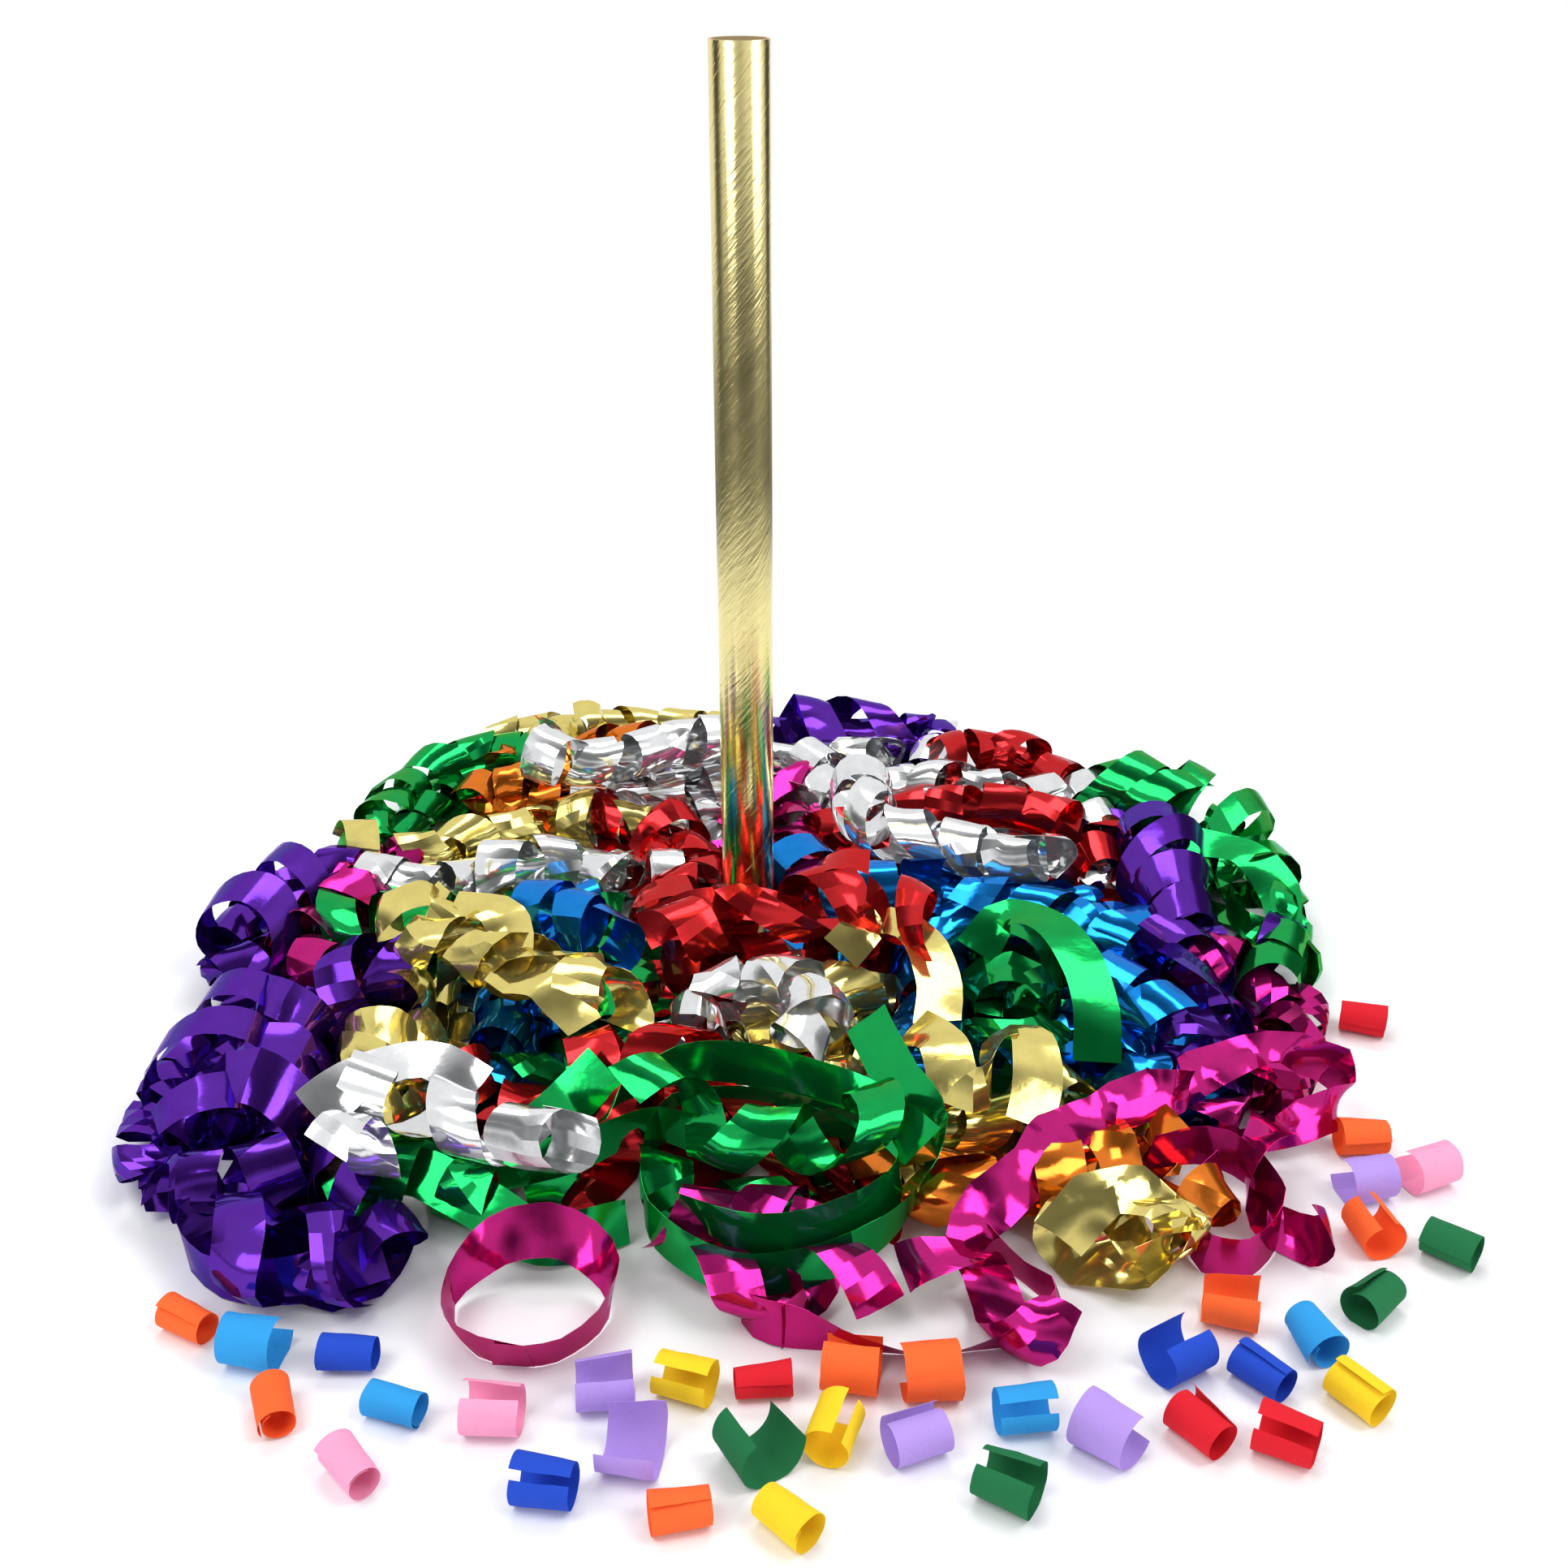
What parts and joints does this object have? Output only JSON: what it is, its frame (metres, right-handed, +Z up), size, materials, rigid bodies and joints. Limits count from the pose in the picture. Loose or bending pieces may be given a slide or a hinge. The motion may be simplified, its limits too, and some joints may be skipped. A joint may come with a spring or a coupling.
{
  "type": "streamer wand",
  "caption": "Hollow spiral-wound foil tube standing in the curled film streamers and tissue confetti it throws.",
  "frame": {"origin": "centre of the foot of the tube, on the surface that it stands on", "axes": "+Z up along the tube, +X to the right and +Y to the back as the picture sees it"},
  "size_m": [0.4769, 0.5043, 0.356],
  "materials": {
    "kraft": "bare brown kraft",
    "board": "pale kraft board",
    "gold_foil": "gold metallised paper, spiral wound, bright with fine creases",
    "plug_paper": "pressed paper",
    "film_green": "mirror-bright metallised film, green",
    "film_gold": "mirror-bright metallised film, gold",
    "film_silver": "mirror-bright metallised film, silver",
    "film_red": "mirror-bright metallised film, red",
    "film_blue": "mirror-bright metallised film, blue",
    "film_purple": "mirror-bright metallised film, purple",
    "film_magenta": "mirror-bright metallised film, magenta",
    "film_copper": "mirror-bright metallised film, copper orange",
    "tissue_orange": "matte tissue",
    "tissue_blue": "matte tissue",
    "tissue_green": "matte tissue",
    "tissue_yellow": "matte tissue",
    "tissue_pink": "matte tissue",
    "tissue_red": "matte tissue"
  },
  "bodies": {
    "heap": {"green_streamer_back_left": "film_green", "gold_streamer_back": "film_gold", "copper_streamer_back_left": "film_copper", "silver_streamer_back": "film_silver", "purple_streamer_back": "film_purple", "red_streamer_back_right": "film_red", "green_streamer_right": "film_green", "magenta_streamer_right": "film_magenta", "magenta_streamer_right_end": "film_magenta", "gold_streamer_front_right": "film_gold", "magenta_streamer_front_right": "film_magenta", "magenta_streamer_front": "film_magenta", "green_streamer_front": "film_green", "green_streamer_front_left": "film_green", "purple_streamer_front_left": "film_purple", "purple_streamer_left": "film_purple", "purple_streamer_left_inner": "film_purple", "purple_streamer_left_rear": "film_purple", "magenta_streamer_left": "film_magenta", "gold_streamer_left": "film_gold", "silver_streamer_left": "film_silver", "green_streamer_left": "film_green", "gold_streamer_left_low": "film_gold", "blue_streamer_left": "film_blue", "green_streamer_by_tube": "film_green", "red_streamer_front": "film_red", "silver_streamer_front": "film_silver", "red_streamer_by_tube": "film_red", "gold_streamer_right_low": "film_gold", "gold_streamer_right_inner": "film_gold", "blue_streamer_front_right": "film_blue", "copper_streamer_front_right": "film_copper", "green_streamer_right_low": "film_green", "blue_streamer_right_low": "film_blue", "purple_streamer_right": "film_purple", "purple_streamer_right_low": "film_purple", "blue_streamer_right": "film_blue", "red_streamer_right": "film_red", "silver_streamer_right": "film_silver", "silver_streamer_back_right": "film_silver", "magenta_streamer_behind_tube": "film_magenta", "silver_streamer_back_left": "film_silver", "red_streamer_behind_tube": "film_red", "confetti_orange": "tissue_orange", "confetti_blue": "tissue_blue", "confetti_green": "tissue_green", "confetti_yellow": "tissue_yellow", "confetti_pink": "tissue_pink", "confetti_red": "tissue_red"},
    "wand": {"inner_ply": "kraft", "outer_ply": "board", "foil_wrap": "gold_foil", "foot_plug": "plug_paper"},
    "red_streamer_before_tube_body": {"red_streamer_before_tube": "film_red"},
    "gold_streamer_left_top_body": {"gold_streamer_left_top": "film_gold"},
    "silver_streamer_front_left_body": {"silver_streamer_front_left": "film_silver"},
    "green_streamer_front_top_body": {"green_streamer_front_top": "film_green"},
    "silver_streamer_right_top_body": {"silver_streamer_right_top": "film_silver"},
    "silver_streamer_left_top_body": {"silver_streamer_left_top": "film_silver"},
    "magenta_loop_front_body": {"magenta_loop_front": "film_magenta"}
  },
  "joints": [
    {"name": "tube_lift", "type": "slide", "parent": "heap", "child": "wand", "axis": [0, 0, 1], "range_m": [0, 0.1]},
    {"name": "red_streamer_before_tube_lift", "type": "slide", "parent": "heap", "child": "red_streamer_before_tube_body", "axis": [0, 0, 1], "range_m": [0, 0.06]},
    {"name": "gold_streamer_left_top_lift", "type": "slide", "parent": "heap", "child": "gold_streamer_left_top_body", "axis": [0, 0, 1], "range_m": [0, 0.06]},
    {"name": "silver_streamer_front_left_lift", "type": "slide", "parent": "heap", "child": "silver_streamer_front_left_body", "axis": [0, 0, 1], "range_m": [0, 0.06]},
    {"name": "green_streamer_front_top_lift", "type": "slide", "parent": "heap", "child": "green_streamer_front_top_body", "axis": [0, 0, 1], "range_m": [0, 0.06]},
    {"name": "silver_streamer_right_top_lift", "type": "slide", "parent": "heap", "child": "silver_streamer_right_top_body", "axis": [0, 0, 1], "range_m": [0, 0.06]},
    {"name": "silver_streamer_left_top_lift", "type": "slide", "parent": "heap", "child": "silver_streamer_left_top_body", "axis": [0, 0, 1], "range_m": [0, 0.06]},
    {"name": "magenta_loop_front_lift", "type": "slide", "parent": "heap", "child": "magenta_loop_front_body", "axis": [0, 0, 1], "range_m": [0, 0.06]}
  ]
}
